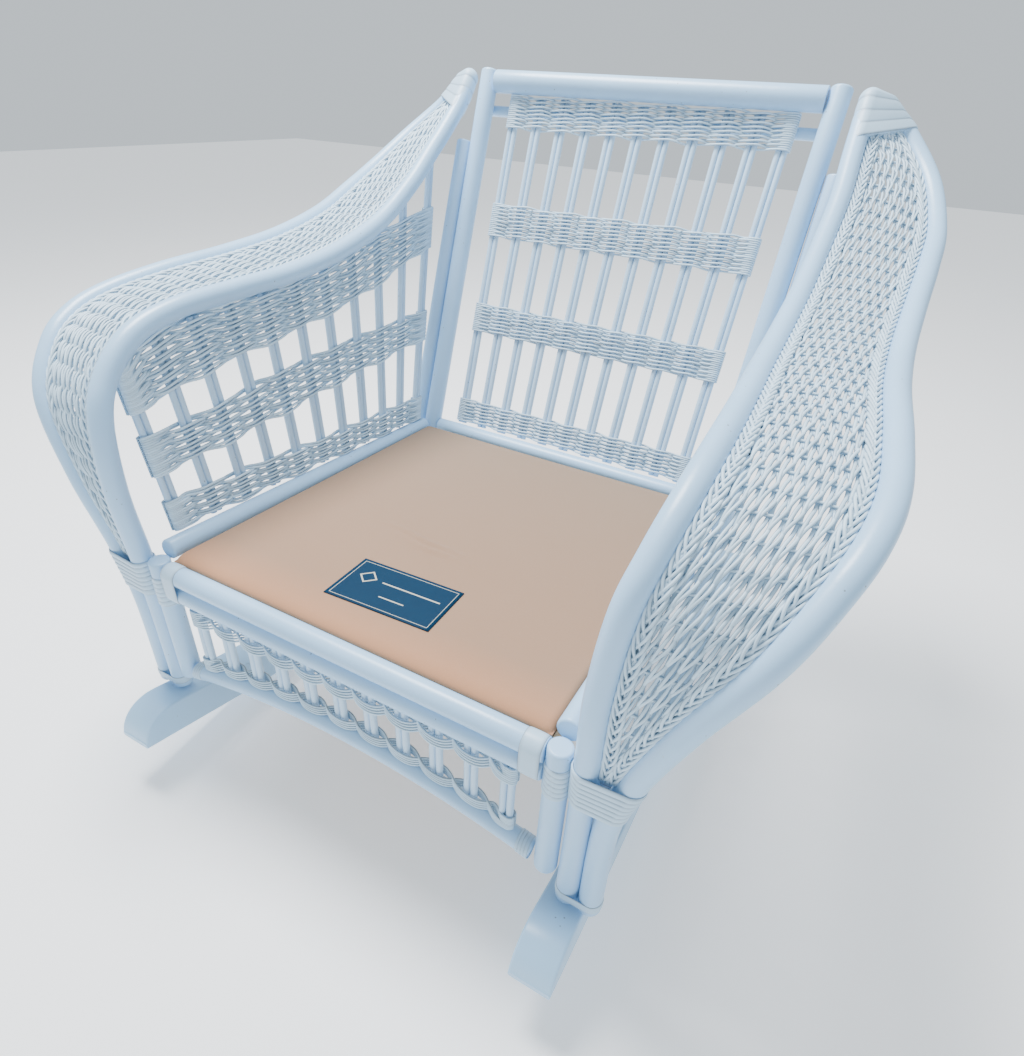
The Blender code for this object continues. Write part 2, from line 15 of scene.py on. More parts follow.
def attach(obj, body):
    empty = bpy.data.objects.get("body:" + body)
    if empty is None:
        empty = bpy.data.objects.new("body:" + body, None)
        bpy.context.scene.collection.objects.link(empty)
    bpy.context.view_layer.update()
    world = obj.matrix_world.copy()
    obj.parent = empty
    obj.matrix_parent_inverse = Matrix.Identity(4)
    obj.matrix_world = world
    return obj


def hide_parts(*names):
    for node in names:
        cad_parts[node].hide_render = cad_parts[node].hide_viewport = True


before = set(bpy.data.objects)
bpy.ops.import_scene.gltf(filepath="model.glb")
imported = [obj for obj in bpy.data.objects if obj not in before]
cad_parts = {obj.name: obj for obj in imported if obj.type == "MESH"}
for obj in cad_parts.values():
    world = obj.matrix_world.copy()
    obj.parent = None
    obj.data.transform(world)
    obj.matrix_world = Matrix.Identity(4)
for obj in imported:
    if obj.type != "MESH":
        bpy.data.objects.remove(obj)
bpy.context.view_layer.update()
rng = np.random.default_rng(7)

# %% [markdown]
# ## Sizes
# These are the sizes the measured model was built from, so that every pole and strand
# lands where its solid is. Y is measured from the front legs and Z from the noses of
# the rockers, then both are shifted so that the floor is at zero.

# %% Driving sizes
POLE_R = 0.0143
POST_R = 0.0165
TOP_RAIL_R = 0.0185
APRON_RAIL_R = 0.0125
BRACE_R = 0.009
ROD_R = 0.0049
REED_R = 0.0020
SIDE_REED_R = 0.0024
ARM_REED_R = 0.00185
GAP = 0.0004
FRONT_X = 0.2985
FRONT_FOOT, FRONT_TOP = 0.080, 0.2912
POST_FOOT_X, POST_TOP_X = 0.2850, 0.3050
POST_FOOT_Z, POST_TOP_Y, POST_TOP_Z = 0.090, 0.8690, 0.8654
BACK_SLOPE = 0.373
REAR_FOOT_X, REAR_FOOT_Z, REAR_TOP_Z = 0.3205, 0.046, 0.752
SEAT_Z, SEAT_FALL = 0.2990, 0.0735
UPPER_Z = 0.2765
SHIFT = np.array([0.0, -0.4043, 0.0832268])
POLE_PAIRS = np.array([
    ((0.3300, 0.000, 0.043), (0.3590, 0.000, 0.043)),
    ((0.3300, 0.000, 0.200), (0.3600, 0.000, 0.200)),
    ((0.3302, -0.004, 0.290), (0.3780, -0.001, 0.290)),
    ((0.3308, -0.009, 0.390), (0.4125, -0.004, 0.390)),
    ((0.3365, 0.002, 0.480), (0.4570, 0.011, 0.480)),
    ((0.3455, 0.030, 0.528), (0.4840, 0.053, 0.534)),
    ((0.3535, 0.080, 0.564), (0.4985, 0.100, 0.561)),
    ((0.3565, 0.150, 0.581), (0.5035, 0.160, 0.577)),
    ((0.3550, 0.250, 0.586), (0.4980, 0.250, 0.590)),
    ((0.3515, 0.360, 0.591), (0.4895, 0.360, 0.599)),
    ((0.3510, 0.470, 0.606), (0.4873, 0.470, 0.611)),
    ((0.3525, 0.580, 0.637), (0.4892, 0.580, 0.634)),
    ((0.3540, 0.675, 0.687), (0.4908, 0.670, 0.667)),
    ((0.3545, 0.740, 0.733), (0.4875, 0.750, 0.702)),
    ((0.3500, 0.796, 0.780), (0.4620, 0.829, 0.754)),
    ((0.3475, 0.835, 0.817), (0.4150, 0.879, 0.806)),
    ((0.3470, 0.862, 0.850), (0.3765, 0.880, 0.842)),
])
INNER, OUTER = POLE_PAIRS[:, 0], POLE_PAIRS[:, 1]
LAST = len(INNER) - 1
print(len(INNER), "stations along each arm")

# %% [markdown]
# ## Shader maths that reads like Python
# A socket is wrapped in a small class, so `1 - mask * 0.4` adds the Math nodes itself.
# Everything else comes from one method that makes a node, sets it and links it.

# %% Shader helpers
class Value:
    """One socket with arithmetic: each operator adds a Math node."""

    def __init__(self, shop, socket):
        self.shop, self.socket = shop, socket

    def math(self, operation, *others):
        node = self.shop.node("ShaderNodeMath", {"operation": operation},
                              **{str(i): v for i, v in enumerate((self, *others))})
        return Value(self.shop, node.outputs[0])

    def __add__(self, other):
        return self.math("ADD", other)

    def __radd__(self, other):
        return self.math("ADD", other)

    def __mul__(self, other):
        return self.math("MULTIPLY", other)

    def __rmul__(self, other):
        return self.math("MULTIPLY", other)

    def __sub__(self, other):
        return self.math("SUBTRACT", other)

    def __rsub__(self, other):
        return (self * -1.0).math("ADD", other)

    def __gt__(self, other):
        return self.math("GREATER_THAN", other)

    def __lt__(self, other):
        return self.math("LESS_THAN", other)

    def clip(self):
        node = self.shop.node("ShaderNodeClamp", Value=self)
        return Value(self.shop, node.outputs[0])


class Finish:
    """A material being built: node() adds any node, and shade() ends it."""

    def __init__(self, name):
        self.material = bpy.data.materials.new(name)
        self.material.use_nodes = True
        self.tree = self.material.node_tree
        self.shader = self.tree.nodes["Principled BSDF"]
        coords = self.node("ShaderNodeTexCoord")
        self.place, self.uv = coords.outputs["Object"], coords.outputs["UV"]

    def node(self, kind, settings=(), **inputs):
        node = self.tree.nodes.new(kind)
        for key, value in dict(settings).items():
            setattr(node, key, value)
        for key, value in inputs.items():
            socket = node.inputs[int(key) if key.isdigit() else key.replace("_", " ")]
            self.feed(socket, value)
        return node

    def feed(self, socket, value):
        value = value.socket if isinstance(value, Value) else value
        if isinstance(value, bpy.types.NodeSocket):
            self.tree.links.new(value, socket)
        else:
            socket.default_value = value

    def noise(self, scale, detail=3.0, rough=0.55, at=None, stretch=None):
        at = self.place if at is None else at
        if stretch:
            at = self.node("ShaderNodeMapping", Vector=at, Scale=stretch).outputs[0]
        node = self.node("ShaderNodeTexNoise", Vector=at, Scale=scale, Detail=detail,
                         Roughness=rough)
        return Value(self, node.outputs[0])

    def spots(self, scale):
        node = self.node("ShaderNodeTexVoronoi", Vector=self.place, Scale=scale)
        return Value(self, node.outputs["Distance"])

    def attribute(self, name):
        node = self.node("ShaderNodeAttribute", {"attribute_name": name})
        return Value(self, node.outputs["Fac"])

    def axis(self, source, index):
        return Value(self, self.node("ShaderNodeSeparateXYZ", Vector=source).outputs[index])

    def mix(self, factor, low, high):
        node = self.node("ShaderNodeMix", {"data_type": "RGBA"}, **{"0": factor})
        for key, color in (("6", low), ("7", high)):
            color = (*color, 1.0) if isinstance(color, tuple) and len(color) == 3 else color
            self.feed(node.inputs[int(key)], color)
        return node.outputs[2]

    def bump(self, height, distance, strength=1.0):
        return self.node("ShaderNodeBump", Height=height, Distance=distance,
                         Strength=strength).outputs[0]

    def shade(self, color, roughness, normal=None, **fixed):
        self.feed(self.shader.inputs["Base Color"], (*color, 1.0)
                  if isinstance(color, tuple) else color)
        self.feed(self.shader.inputs["Roughness"], roughness)
        if normal is not None:
            self.feed(self.shader.inputs["Normal"], normal)
        for key, value in fixed.items():
            self.shader.inputs[key.replace("_", " ")].default_value = value
        return self.material


# %% [markdown]
# ## Finishes
# The whole chair was sprayed with one semi-gloss white. On smooth poles it lies as a
# soft film with small pits and scuffs; on the reed it is thinner, drier and a little
# uneven from strand to strand. The deck is plain cotton, and its label is satin.

# %% Sprayed white on smooth cane
def shaded(color, share):
    """The colour times share, no channel above 1."""
    return tuple(min(1.0, share * c) for c in color)


def pole_paint(name, color=(0.43, 0.68, 0.94)):
    """Semi-gloss paint: cloudy tint, sparse dark pits, scuffs and a faint orange peel."""
    f = Finish(name)
    cloud = f.noise(7.0, 4.0)
    color = f.mix(cloud, shaded(color, 0.90), shaded(color, 1.07))
    pits = (f.spots(95.0) < 0.10) * (f.noise(24.0, 2.0) > 0.60)
    color = f.mix(pits * 0.75, color, (0.22, 0.24, 0.27))
    scuffs = ((f.noise(160.0, 5.0, 0.7, stretch=(1.0, 0.3, 0.3)) > 0.69)
              * (f.noise(9.0, 2.0) > 0.55))
    color = f.mix(scuffs * 0.5, color, (0.44, 0.50, 0.58))
    height = f.noise(38.0, 3.0) * 0.6 + f.noise(420.0, 2.0) * 0.12 - pits * 0.6
    rough = cloud * 0.16 + scuffs * 0.2 + 0.27
    return f.shade(color, rough, f.bump(height, 0.0012, 0.55), Coat_Weight=0.12,
                   Coat_Roughness=0.25)


# %% Sprayed white on reed
def reed_paint(name, color=(0.58, 0.76, 0.90)):
    """Drier paint: a tone for each strand, fibre lines, worn, dusty patches and painted shade on
    each strand's flanks.
    """
    f = Finish(name)
    tone = f.attribute("tone")
    cloud = f.noise(16.0, 4.0)
    color = f.mix((tone * 0.75 + cloud * 0.4).clip(), shaded(color, 0.84), shaded(color, 1.12))
    # Painted shade: the flanks of every strand, where it meets its neighbours, are darkened to a
    # deep blue-grey from the crown attribute.
    painted_flank_shade = ((0.84 - f.attribute("crown")) * 1.9).clip()
    color = f.mix(painted_flank_shade * 0.92, color, (0.06, 0.09, 0.14))
    dust = f.noise(340.0, 4.0, 0.7) > 0.66
    color = f.mix(dust * 0.35, color, (0.40, 0.45, 0.52))
    height = f.noise(700.0, 3.0, 0.6) * 0.5 + f.noise(120.0, 2.0) * 0.6
    return f.shade(color, cloud * 0.2 + 0.36, f.bump(height, 0.0006, 0.6))


def strip_paint(name, color=(0.50, 0.69, 0.85)):
    """Paint over wound cane: clean on top of each turn, painted shade down in the grooves."""
    f = Finish(name)
    # Painted shade: the low parts of each turn, read from the ridge height in tone, are darkened
    # towards blue-grey in the grooves.
    painted_groove_shade = (1.0 - f.attribute("tone") * 1.25).clip()
    cloud = f.noise(20.0, 4.0)
    body = f.mix(cloud, shaded(color, 0.92), shaded(color, 1.08))
    height = f.noise(260.0, 3.0, 0.6) * 0.4
    return f.shade(f.mix(painted_groove_shade * 0.8, body, (0.16, 0.19, 0.24)), cloud * 0.2 + 0.32,
                   f.bump(height, 0.0006, 0.5))


PAINT = pole_paint("cane_pole_paint")
ROCKER_PAINT = pole_paint("rocker_paint_on_wood", (0.41, 0.66, 0.90))
SPINDLE_PAINT = pole_paint("spindle_paint", (0.53, 0.73, 0.92))
REED = reed_paint("reed_paint")
STRIP = strip_paint("binding_strip_paint")

# %% Cotton, satin, wood, steel and the floor
def cotton(name):
    """Plain weave: two crossed sine ribs 0.9 mm apart, paler at the back than the front: painted
    light, bright and warm at the front edge, greying towards the back.
    """
    f = Finish(name)
    x, y = f.axis(f.place, 0), f.axis(f.place, 1)
    ribs = (x * 6900.0).math("SINE") + (y * 6900.0).math("SINE")
    cloud = f.noise(5.0, 4.0)
    # Painted light: depth runs from the lit, warm front edge of the deck to its greyer, darker
    # back.
    depth = ((y + 0.392) * 14.0).clip() * 0.6 + ((y + 0.39) * 0.7).clip() * 0.9
    color = f.mix(depth.clip(), (0.47, 0.235, 0.125), (0.275, 0.192, 0.132))
    color = f.mix((cloud * 0.4 + ribs * 0.06 + f.noise(750.0, 2.0) * 0.5 - 0.15).clip(), color,
                  f.mix(depth.clip(), (0.54, 0.285, 0.16), (0.325, 0.232, 0.163)))
    lint = f.noise(900.0, 2.0) > 0.72
    color = f.mix(lint * 0.25, color, (0.75, 0.62, 0.52))
    height = ribs * 0.25 + f.noise(1500.0, 2.0) * 0.5
    return f.shade(color, 0.88, f.bump(height, 0.0004, 0.35), Sheen_Weight=0.12,
                   Sheen_Roughness=0.5, Specular_IOR_Level=0.2)


def band_mask(value, centre, half):
    """1 where value is within half of centre."""
    return (value > centre - half) * (value < centre + half)


def label_satin(name):
    """Blue satin with a pale rule round the edge, plain bars and a small lozenge."""
    f = Finish(name)
    u, v = f.axis(f.uv, 0), f.axis(f.uv, 1)
    inside = band_mask(u, 0.5, 0.470) * band_mask(v, 0.5, 0.450)
    core = band_mask(u, 0.5, 0.465) * band_mask(v, 0.5, 0.441)
    rules = inside - core
    for left, right, height, half in ((0.34, 0.90, 0.60, 0.013), (0.42, 0.66, 0.30, 0.011)):
        rules = rules + band_mask(u, (left + right) / 2, (right - left) / 2) * band_mask(
            v, height, half)
    lozenge = ((u - 0.19).math("ABSOLUTE") * 1.7 + (v - 0.62).math("ABSOLUTE"))
    rules = rules + band_mask(lozenge, 0.135, 0.016)
    warp = (v * 1100.0).math("SINE") * 0.5 + 0.5
    blue = f.mix(warp * 0.4 + f.noise(60.0) * 0.4, (0.0015, 0.022, 0.055), (0.003, 0.036, 0.078))
    color = f.mix(rules.clip() * 0.85, blue, (0.62, 0.60, 0.50))
    return f.shade(color, 0.6, f.bump(warp + rules * 0.8, 0.0002, 0.3), Specular_IOR_Level=0.12)


def sawn_wood(name):
    """Bare softwood: long stretched grain between honey and brown."""
    f = Finish(name)
    grain = f.noise(30.0, 5.0, 0.6, stretch=(1.0, 0.12, 1.0))
    color = f.mix(grain, (0.30, 0.18, 0.09), (0.60, 0.43, 0.25))
    return f.shade(color, 0.7, f.bump(grain, 0.001, 0.5))


def spring_wire(name):
    """Oiled wire with darker streaks."""
    f = Finish(name)
    streak = f.noise(50.0, 4.0)
    color = f.mix(streak, (0.20, 0.20, 0.21), (0.46, 0.46, 0.48))
    return f.shade(color, streak * 0.2 + 0.25, Metallic=1.0)


def floor_finish(name):
    """Pale studio floor with a trace of cloud."""
    f = Finish(name)
    return f.shade(f.mix(f.noise(0.7), (0.93, 0.94, 0.95), (0.96, 0.965, 0.97)), 0.7,
                   Emission_Color=(1.0, 1.0, 1.0, 1.0), Emission_Strength=0.36)


COTTON = cotton("deck_cotton")
SATIN = label_satin("label_satin")
WOOD = sawn_wood("sawn_frame_wood")
WIRE = spring_wire("spring_wire")
print(len(bpy.data.materials), "finishes")

# %% [markdown]
# ## Turning arrays into pieces
# One function puts numpy arrays into a mesh, and one sweeps a round section along many
# lines at once. Poles, spindle rods and every woven strand come from that second one.

# %% Mesh helpers
def piece(name, verts, quads, material, caps=None, nodes=(), mirror=False, tone=None,
          crown=None):
    """A mesh object from arrays: quads are (n, 4), caps are (m, k); it rides on the root."""
    verts = np.array(verts, float).reshape(-1, 3) + SHIFT
    quads = np.asarray(quads).reshape(-1, 4)
    caps = np.zeros((0, 3), int) if caps is None else np.asarray(caps)
    if mirror:
        verts[:, 0] *= -1
        quads, caps = quads[:, ::-1], caps[:, ::-1]
    mesh = bpy.data.meshes.new(name)
    mesh.vertices.add(len(verts))
    mesh.vertices.foreach_set("co", verts.astype(np.float32).ravel())
    mesh.loops.add(quads.size + caps.size)
    mesh.loops.foreach_set("vertex_index", np.concatenate([quads.ravel(), caps.ravel()])
                           .astype(np.int32))
    starts = np.concatenate([np.arange(len(quads)) * 4,
                             quads.size + np.arange(len(caps)) * caps.shape[1]])
    mesh.polygons.add(len(starts))
    mesh.polygons.foreach_set("loop_start", starts.astype(np.int32))
    mesh.polygons.foreach_set("use_smooth", np.arange(len(starts)) < len(quads))
    mesh.update(calc_edges=True)
    mesh.validate()
    for key, values in (("tone", tone), ("crown", crown)):
        if values is not None:
            layer = mesh.attributes.new(key, "FLOAT", "POINT")
            layer.data.foreach_set("value", np.asarray(values, np.float32).ravel())
    mesh.materials.append(material)
    obj = bpy.data.objects.new(name, mesh)
    bpy.context.scene.collection.objects.link(obj)
    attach(obj, "root")
    if nodes:
        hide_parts(*nodes)
    return obj


def unit(v):
    """v divided by its length."""
    return v / np.maximum(np.linalg.norm(v, axis=-1, keepdims=True), 1e-12)


def sweep(paths, radius, ref, sides, flat=1.0):
    """Round bars along paths (k, m, 3): centre + r (cos a n + flat sin a b), capped.

    n is ref made square to the line and b is the line's direction crossed with n.
    """
    paths = np.asarray(paths, float)
    paths = paths[None] if paths.ndim == 2 else paths
    count, rings = paths.shape[:2]
    t = unit(np.gradient(paths, axis=1))
    ref = np.broadcast_to(np.asarray(ref, float), paths.shape)
    n = unit(ref - t * (ref * t).sum(-1, keepdims=True))
    b = np.cross(t, n)
    a = (np.arange(sides) + 0.5) * math.tau / sides
    r = np.broadcast_to(np.asarray(radius, float), (count, rings))[..., None, None]
    verts = paths[:, :, None] + r * (np.cos(a)[:, None] * n[:, :, None]
                                     + flat * np.sin(a)[:, None] * b[:, :, None])
    index = np.arange(count * rings * sides).reshape(count, rings, sides)
    low, high = index[:, :-1], index[:, 1:]
    quads = np.stack([low, np.roll(low, -1, 2), np.roll(high, -1, 2), high], -1)
    caps = np.concatenate([index[:, 0, ::-1], index[:, -1]])
    return verts, quads.reshape(-1, 4), caps


def eased(path, radius, ease):
    """The path and its radii with both ends rounded over by ease."""
    path = np.asarray(path, float)
    t0, t1 = unit(path[1] - path[0]), unit(path[-1] - path[-2])
    a = np.radians([90.0, 60.0, 30.0, 0.0])
    head = [path[0] + t0 * ease * (1 - math.sin(x)) for x in a]
    tail = [path[-1] - t1 * ease * (1 - math.sin(x)) for x in a[::-1]]
    ends = radius - ease + ease * np.cos(a)
    inner = path[1:-1] if len(path) > 2 else np.linspace(path[0], path[-1], 9)[1:-1]
    return (np.vstack([head, inner, tail]),
            np.concatenate([ends, np.full(len(inner), radius), ends[::-1]]))


def pole(name, path, radius, ref, nodes, ease=0.003, mirror=False):
    """A painted pole with 32 sides and rounded ends."""
    path, radii = eased(path, radius, ease)
    verts, quads, caps = sweep(path, radii, ref, 32)
    return piece(name, verts, quads, PAINT, caps, nodes, mirror)


def on_sides(build):
    """Run build for the right side and, mirrored, for the left."""
    for tag, mirror in (("right", False), ("left", True)):
        build(tag, mirror)


# %% [markdown]
# ## The bent arm poles
# Each arm has two poles that rise together as the front leg, part over the arm and
# meet again at the crown. A smooth curve through the measured stations gives both.

# %% Arm poles
def catmull(points, s):
    """Catmull-Rom curve: 0.5 (2 p1 + (p2-p0) t + (2p0-5p1+4p2-p3) t^2 + (3p1-p0-3p2+p3) t^3)."""
    s = np.clip(np.asarray(s, float), 0, len(points) - 1)
    k = np.minimum(s.astype(int), len(points) - 2)
    t = (s - k)[..., None]
    padded = np.vstack([2 * points[0] - points[1], points, 2 * points[-1] - points[-2]])
    p0, p1, p2, p3 = (padded[k + i] for i in range(4))
    return 0.5 * (2 * p1 + (p2 - p0) * t + (2 * p0 - 5 * p1 + 4 * p2 - p3) * t ** 2
                  + (3 * p1 - p0 - 3 * p2 + p3) * t ** 3)


def heading(points, s):
    return unit(catmull(points, np.minimum(s + 0.05, LAST)) - catmull(points,
                np.maximum(np.asarray(s) - 0.05, 0)))


def across(s):
    """Pole centres at s, the unit vector between them and the outward normal."""
    a, b = catmull(INNER, s), catmull(OUTER, s)
    w = unit(b - a)
    t = unit(heading(INNER, s) + heading(OUTER, s))
    t = unit(t - w * (t * w).sum(-1, keepdims=True))
    return a, b, w, np.cross(w, t)


ALONG = np.linspace(0, LAST, 220)


def arm_poles(tag, mirror):
    for which, line in (("inner", INNER), ("outer", OUTER)):
        pole("arm_%s_pole_fine_%s" % (which, tag), catmull(line, ALONG), POLE_R, (1, 0, 0),
             ["arm_%s_pole_%s" % (which, tag)], mirror=mirror)


on_sides(arm_poles)

# %% [markdown]
# ## Posts and rails
# The back leans, so its posts are straight poles with one slope; the rails between the
# posts are level, and the seat's side rails fall gently towards the back.

# %% Posts and rails
def post_x(z):
    """Half the width between the back posts at height z."""
    return POST_FOOT_X + (POST_TOP_X - POST_FOOT_X) * z / POST_TOP_Z


def post_y(z):
    """How far back the leaning posts are at height z."""
    return POST_TOP_Y + BACK_SLOPE * (z - POST_TOP_Z)


def posts(tag, mirror):
    """The front post, both rear posts and the seat's side rail of one side."""
    def straight(name, ends, radius, ease=0.003):
        pole(name + "_fine_" + tag, np.array(ends, float), radius, (1, 0.1, 0),
             [name + "_" + tag], ease, mirror)

    straight("front_post", [(FRONT_X, 0, FRONT_FOOT), (FRONT_X, 0, FRONT_TOP)], POLE_R)
    straight("back_post", [(post_x(z), post_y(z), z) for z in (POST_FOOT_Z, POST_TOP_Z)],
             POST_R, 0.004)
    top = post_x(REAR_TOP_Z) + POST_R + POLE_R + 2 * GAP
    straight("rear_post", [(REAR_FOOT_X + (top - REAR_FOOT_X) * z / REAR_TOP_Z, post_y(z), z)
                           for z in (REAR_FOOT_Z, REAR_TOP_Z)], POLE_R)
    ends = [(FRONT_X, y, SEAT_Z - SEAT_FALL * y) for y in (0.0163, 0.6175)]
    pole("seat_side_rail_fine_" + tag, np.array(ends), POLE_R, (1, 0, 0),
         ["seat_side_rail_" + tag], mirror=mirror)


on_sides(posts)


def level_rail(name, half, y, z, radius, ease=0.0012):
    """A level pole between two posts, from -half to half."""
    pole(name + "_fine", np.array([(-half, y, z), (half, y, z)]), radius, (0, 0, 1), [name],
         ease=ease)


RAIL_HALF = FRONT_X - POLE_R - GAP
LOWER_Z = UPPER_Z - 2 * POLE_R - GAP
level_rail("front_upper_rail", RAIL_HALF, 0, UPPER_Z, POLE_R)
level_rail("front_lower_rail", RAIL_HALF, 0, LOWER_Z, POLE_R)
level_rail("back_top_rail", post_x(0.849) - POST_R - 0.001, post_y(0.849), 0.849, TOP_RAIL_R)
level_rail("back_brace", post_x(0.802) + POST_R / 2, 0.8740, 0.802, BRACE_R, 0.002)
level_rail("seat_rear_rail", post_x(0.25) - POST_R - 0.001, 0.640, 0.250, POLE_R)


def apron_z(x):
    """Centre of the arched apron rail: a parabola."""
    return 0.132 - 0.038 * (np.asarray(x) / 0.2834) ** 2


arch_x = np.linspace(-0.2795, 0.2795, 90)
arch = np.stack([arch_x, 0 * arch_x, apron_z(arch_x)], -1)
pole("apron_bottom_rail_fine", arch, APRON_RAIL_R, (0, 0, 1), ["apron_bottom_rail"])

# %% [markdown]
# ## Rockers
# Each rocker is a bent plank: a straight tail, a long arc and a straight tail again,
# with the upper edge rounded over at both ends.

# %% Rockers
TAIL_SLOPE = 0.25
ARC_START, ARC_LOW = 0.070, 0.412
FRONT_TIP = -0.0955
REAR_TAIL = 0.085
NOSE, ROCKER_HIGH, ROCKER_HALF, ROCKER_X = 0.062, 0.060, 0.02675, 0.33025
ARC = math.atan(TAIL_SLOPE)
ARC_R = (ARC_LOW - ARC_START) / math.sin(ARC)
LOWEST = TAIL_SLOPE * (FRONT_TIP - ARC_START) - ARC_R * (1 - math.cos(ARC))
REAR_ARC = math.radians(15.4)
REAR_TIP = ARC_LOW + ARC_R * math.sin(REAR_ARC) + REAR_TAIL


def rocker_low(y):
    """Underside: tail, circular arc LOWEST + R - sqrt(R^2 - dy^2), tail."""
    reach = np.clip(y - ARC_LOW, -ARC_R * math.sin(ARC), ARC_R * math.sin(REAR_ARC))
    z = LOWEST + ARC_R - np.sqrt(ARC_R ** 2 - reach ** 2)
    rear_rise = math.tan(REAR_ARC) * np.maximum(y - REAR_TIP + REAR_TAIL, 0)
    return z - TAIL_SLOPE * np.minimum(y - ARC_START, 0) + rear_rise


def rocker(tag, mirror):
    """Loft of rounded rectangles, 0.0535 wide; nose = quarter ellipse on the top edge."""
    a = np.radians(np.linspace(0, 90, 16))
    ys = np.concatenate([FRONT_TIP + NOSE * (1 - np.cos(a)),
                         np.linspace(FRONT_TIP + NOSE, REAR_TIP - NOSE, 120)[1:-1],
                         REAR_TIP - NOSE * (1 - np.cos(a[::-1]))])
    end = np.minimum(np.minimum(ys - FRONT_TIP, REAR_TIP - ys) / NOSE, 1)
    high = ROCKER_HIGH * np.sqrt(np.maximum(1 - (1 - end) ** 2, 0.02))
    bevel = np.minimum(0.0035, high * 0.4)
    turn = np.radians(np.arange(0, 91, 22.5))
    ring = []
    for cx, cz, start in ((1, -1, -90), (1, 1, 0), (-1, 1, 90), (-1, -1, 180)):
        for angle in turn:
            x = (ROCKER_X + cx * (ROCKER_HALF - bevel)
                 + bevel * np.cos(angle + math.radians(start)))
            z = rocker_low(ys) + (high / 2 + cz * (high / 2 - bevel)
                                  + bevel * np.sin(angle + math.radians(start)))
            ring.append(np.stack([x, ys, z], -1))
    verts = np.stack(ring[::-1], 1)
    count = verts.shape[1]
    index = np.arange(len(ys) * count).reshape(len(ys), count)
    low, up = index[:-1], index[1:]
    quads = np.stack([low, np.roll(low, -1, 1), np.roll(up, -1, 1), up], -1)
    piece("rocker_fine_" + tag, verts, quads, ROCKER_PAINT,
          np.stack([index[0, ::-1], index[-1]]), ["rocker_" + tag], mirror)


on_sides(rocker)

# %% [markdown]
# ## Spindles and woven bands
# The panels have double spindles. Reed passes in front of one spindle and behind the
# next, the row above does the opposite, and at the ends every strand turns round the
# outer spindle. A row is one strand on the back and a pair of strands on the sides.

# %% The weave
TAU = math.tau


def front(phase):
    """+1 in front at even phases, -1 behind at odd ones: tanh(1.2 cos) / tanh(1.2)."""
    return np.tanh(1.2 * np.cos(math.pi * phase)) / math.tanh(1.2)


def smooth(x):
    """Eased step: x^2 (3 - 2x) with x held between 0 and 1."""
    x = np.clip(x, 0, 1)
    return x * x * (3 - 2 * x)


def turned_ends(u, v, reach, tuck=False):
    """Half turns round the first and last spindle, from behind the panel to its front."""
    turn = np.linspace(math.pi, 0, 9)[None]
    ends = []
    for first, sign in ((0, -1), (-1, 1)):
        edge_u, edge_v = u[:, first:first + 1 or None], v[:, first:first + 1 or None]
        hook_u = edge_u + sign * (ROD_R + reach * np.sin(turn))
        hook = np.stack([hook_u, edge_v + 0 * hook_u, reach * np.cos(turn) + 0 * hook_u], -1)
        if tuck:
            inside = np.stack([edge_u - sign * ROD_R, edge_v, 0 * edge_u - reach], -1)
            hook = np.concatenate([inside, hook], 1)
        ends.append(hook if sign < 0 else hook[:, ::-1])
    return ends


def rows_of(place, lines, low, high, rows, climb, radius, ply):
    """Strands (ply rows, points, 3) of a band woven on spindle lines u = c + k v.

    A row of one or two strands sits at v = low + share (high - low), swings by
    w = reach front(tau + row) and climbs by climb sin(2 pi (tau + row)); the two strands
    of a pair spread in front.
    """
    last = len(lines) - 1
    strand = np.arange(ply * rows)[:, None]
    row, side = strand // ply, (2 * (strand % 2) - 1) * (ply - 1)
    tau = np.linspace(0, last, last * 14 + 1)[None] + 0.0 * strand
    c, k = np.array(lines).T
    reach = ROD_R + radius
    u = np.interp(tau, np.arange(last + 1), c)
    for _ in range(3):
        v = low(u) + (row + 0.5) / rows * (high(u) - low(u))
        u = (np.interp(tau, np.arange(last + 1), c)
             + np.interp(tau, np.arange(last + 1), k) * v)
    pitch = (high(u) - low(u)) / (2 * rows)
    phase = tau + row + 0.05 * rng.standard_normal((ply * rows, 1))
    calm = smooth(np.minimum(tau, last - tau) / 0.6)
    w = reach * (1 - calm + calm * front(phase))
    w = w + calm * 0.0006 * side * np.sin(math.pi * phase)
    spread = 0.5 + calm * 0.36 * np.maximum(front(phase), 0)
    v = v + side * spread * pitch + calm * climb * np.sin(TAU * phase)
    v = v + calm * 0.0003 * np.sin(tau * 2.3 + rng.uniform(0, TAU, (ply * rows, 1)))
    head, tail = turned_ends(u, v, reach, tuck=True)
    full = np.concatenate([head, np.stack([u, v, w], -1)[:, 1:-1], tail], 1)
    return place(full[..., 0], full[..., 1], full[..., 2])


def reeds(name, paths, radius, ref, nodes, mirror=False, flat=0.9, sides=6):
    """Round reeds, each with its tone; crown is near 1 on both faces, 0.5 between them, and sets
    the painted shade on the flanks.
    """
    verts, quads, caps = sweep(paths, radius, ref, sides, flat)
    tone = np.repeat(rng.uniform(0, 1, len(verts)), verts.shape[1] * sides)
    ring = 0.5 + 0.5 * np.abs(np.cos((np.arange(sides) + 0.5) * TAU / sides))
    return piece(name, verts, quads, REED, caps, nodes, mirror, tone,
                 np.tile(ring, verts.shape[0] * verts.shape[1]))


def woven(name, paths, ref, node, radius=REED_R, mirror=False):
    return reeds(name, paths, radius, ref, [node], mirror)


